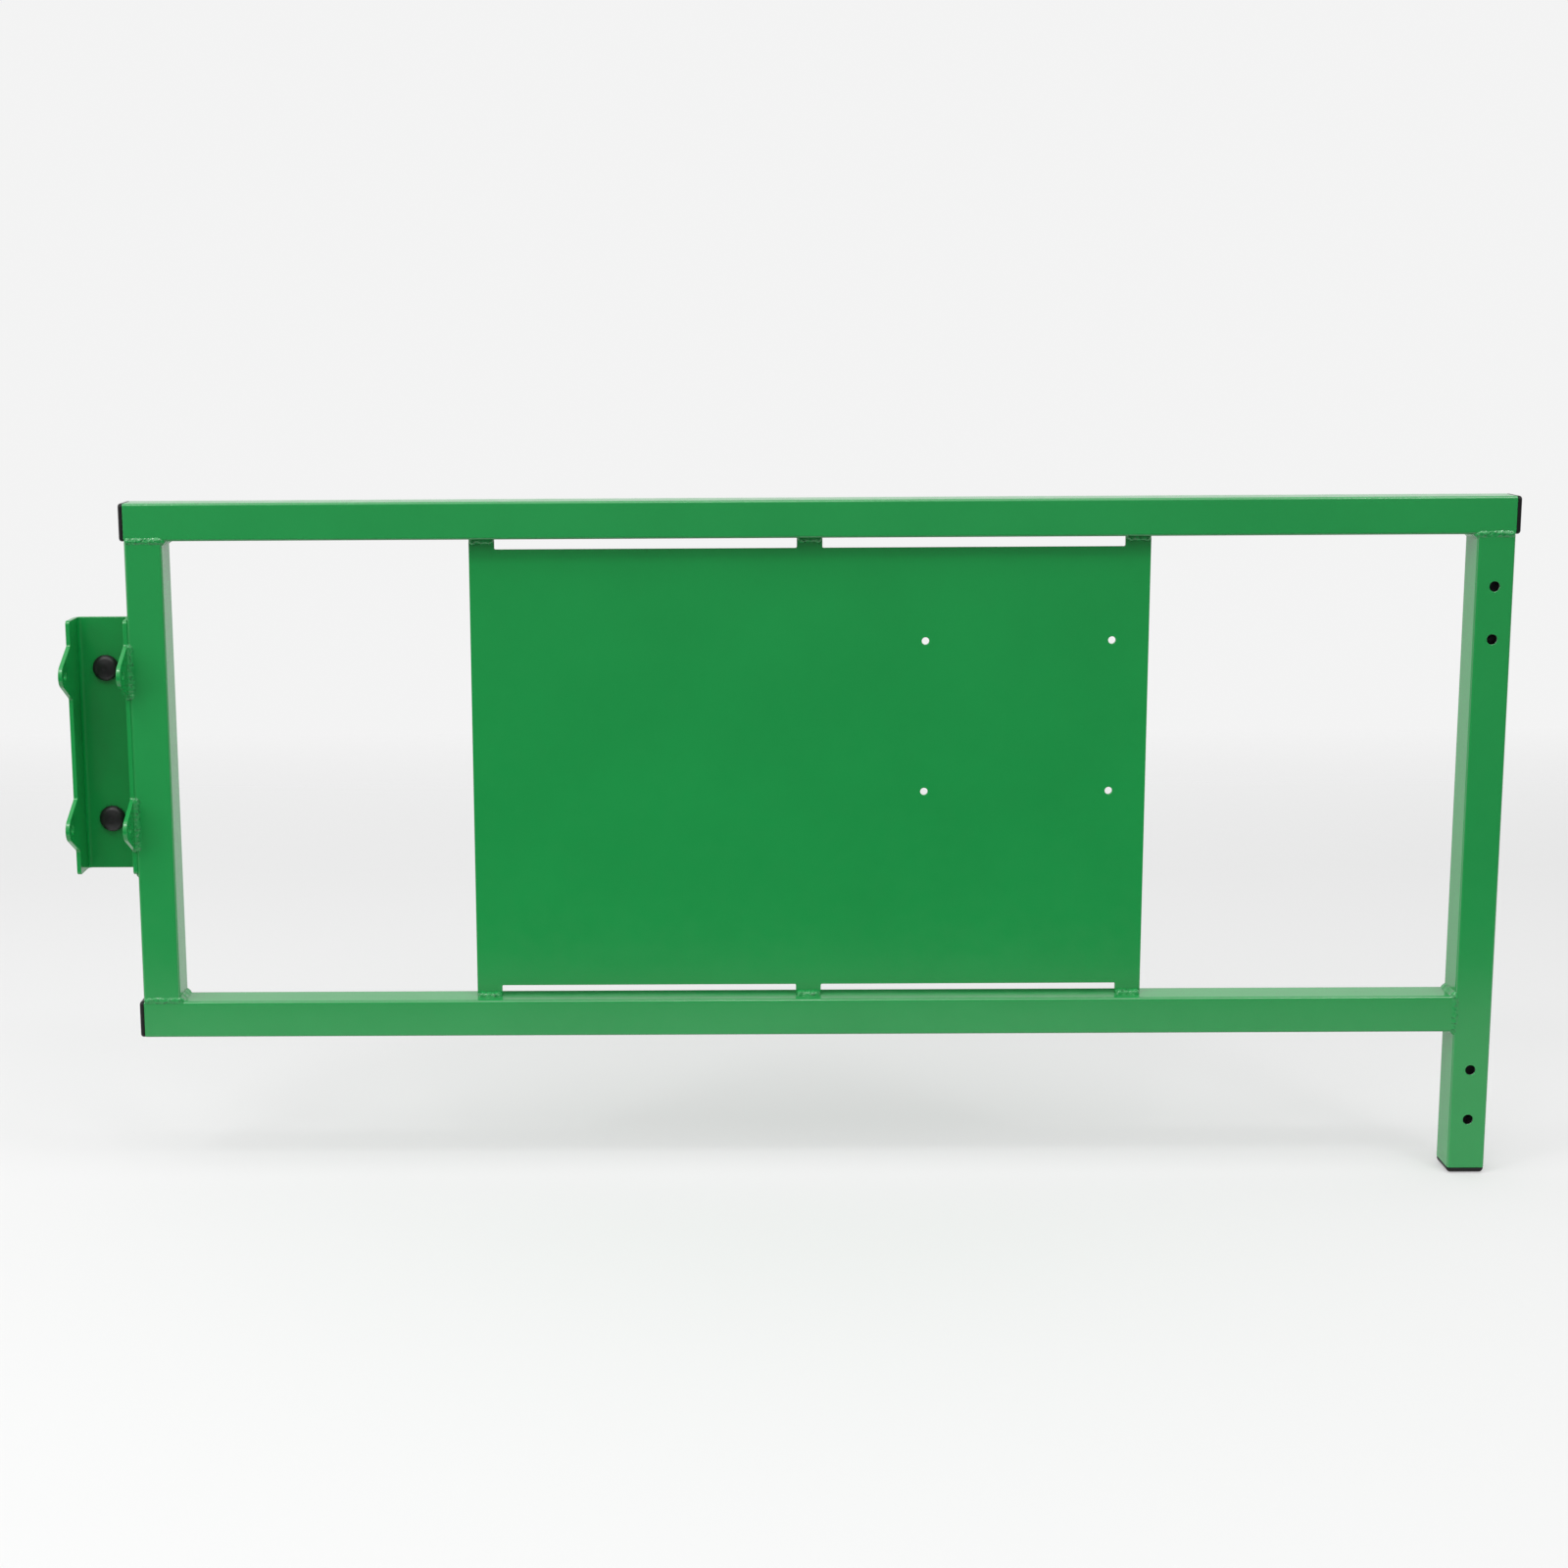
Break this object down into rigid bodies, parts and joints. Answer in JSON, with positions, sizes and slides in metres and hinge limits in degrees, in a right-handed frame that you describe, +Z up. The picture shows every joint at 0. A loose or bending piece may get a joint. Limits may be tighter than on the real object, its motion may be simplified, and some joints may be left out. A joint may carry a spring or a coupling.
{
  "type": "livestock panel gate",
  "caption": "Welded square-tube gate panel with a notched sheet infill, a leg with bolt holes, and a pressed socket bracket with rubber buffers that straddles a fence post.",
  "frame": {"origin": "middle of the socket bracket's web face, halfway between the two rubber buffers, where the gate hangs on its post", "axes": "+X along the rails from the bracket to the leg, +Y through the gate away from the bracket's open side, +Z up"},
  "size_m": [1.5306, 0.0863, 0.7403],
  "materials": {
    "green_paint": "semi-gloss powder coat with fine orange peel",
    "black_plastic": "moulded, satin",
    "black_rubber": "moulded rubber, dull"
  },
  "bodies": {
    "root": {"top_rail": "green_paint", "bottom_rail": "green_paint", "left_post": "green_paint", "leg_post": "green_paint", "middle_plate": "green_paint", "socket_bracket": "green_paint", "upper_buffer": "black_rubber", "lower_buffer": "black_rubber", "top_rail_left_cap": "black_plastic", "top_rail_right_cap": "black_plastic", "bottom_rail_left_cap": "black_plastic", "leg_foot_cap": "black_plastic", "weld_top_left_front": "green_paint", "weld_top_left_back": "green_paint", "weld_top_left_inside": "green_paint", "weld_top_right_front": "green_paint", "weld_top_right_back": "green_paint", "weld_top_right_inside": "green_paint", "weld_bottom_left_front": "green_paint", "weld_bottom_left_back": "green_paint", "weld_bottom_left_inside": "green_paint", "weld_bottom_right_front": "green_paint", "weld_bottom_right_back": "green_paint", "weld_bottom_right_above": "green_paint", "weld_bottom_right_below": "green_paint", "weld_top_tab_1_front": "green_paint", "weld_top_tab_1_back": "green_paint", "weld_top_tab_2_front": "green_paint", "weld_top_tab_2_back": "green_paint", "weld_top_tab_3_front": "green_paint", "weld_top_tab_3_back": "green_paint", "weld_bottom_tab_1_front": "green_paint", "weld_bottom_tab_1_back": "green_paint", "weld_bottom_tab_2_front": "green_paint", "weld_bottom_tab_2_back": "green_paint", "weld_bottom_tab_3_front": "green_paint", "weld_bottom_tab_3_back": "green_paint", "weld_upper_ear": "green_paint", "weld_lower_ear": "green_paint", "weld_bracket_top": "green_paint", "weld_bracket_bottom": "green_paint"}
  },
  "joints": []
}
